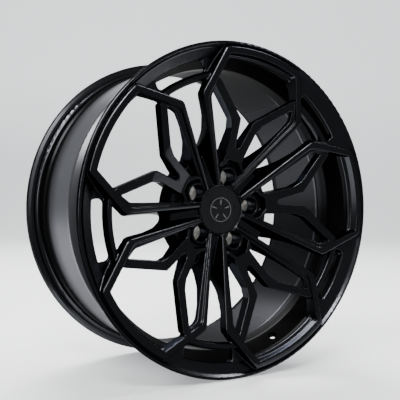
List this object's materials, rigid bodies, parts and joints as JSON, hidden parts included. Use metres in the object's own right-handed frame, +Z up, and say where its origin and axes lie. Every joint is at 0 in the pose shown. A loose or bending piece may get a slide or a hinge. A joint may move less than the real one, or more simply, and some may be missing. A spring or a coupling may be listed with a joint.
{
  "type": "forged racing wheel rim",
  "caption": "Forged open-spoke wheel rim for track cars, with forked spokes, a bolt-on hub, a valve hole and a pull-off centre cap.",
  "frame": {"origin": "on the spin axis at the rim centre plane, which is also the centre of the bounding box", "axes": "+Y along the spin axis towards the vehicle, -Y to the street side, +Z up, +X to the right when seen from the street"},
  "size_m": [0.5474, 0.263, 0.5474],
  "materials": {
    "black_paint": "satin black paint",
    "barrel_paint": "satin dark grey paint",
    "seat_steel": "turned bright",
    "cap_plastic": "satin black",
    "cap_face": "satin black",
    "spring_steel": "drawn wire"
  },
  "bodies": {
    "wheel": {"front_flange": "black_paint", "rim_barrel": "barrel_paint", "rear_flange": "barrel_paint", "hub": "black_paint", "petal_frame_1": "black_paint", "petal_frame_2": "black_paint", "petal_frame_3": "black_paint", "petal_frame_4": "black_paint", "petal_frame_5": "black_paint", "y_branch_1": "black_paint", "y_branch_2": "black_paint", "y_branch_3": "black_paint", "y_branch_4": "black_paint", "y_branch_5": "black_paint", "arm_bridge_1": "black_paint", "arm_bridge_2": "black_paint", "arm_bridge_3": "black_paint", "arm_bridge_4": "black_paint", "arm_bridge_5": "black_paint", "lug_seat_1": "seat_steel", "lug_seat_2": "seat_steel", "lug_seat_3": "seat_steel", "lug_seat_4": "seat_steel", "lug_seat_5": "seat_steel"},
    "cap": {"cap_body": "cap_plastic", "cap_face": "cap_face", "cap_spring": "spring_steel"}
  },
  "joints": [
    {"name": "cap_pull", "type": "slide", "parent": "wheel", "child": "cap", "axis": [0, -1, 0], "range_m": [0, 0.1]}
  ]
}
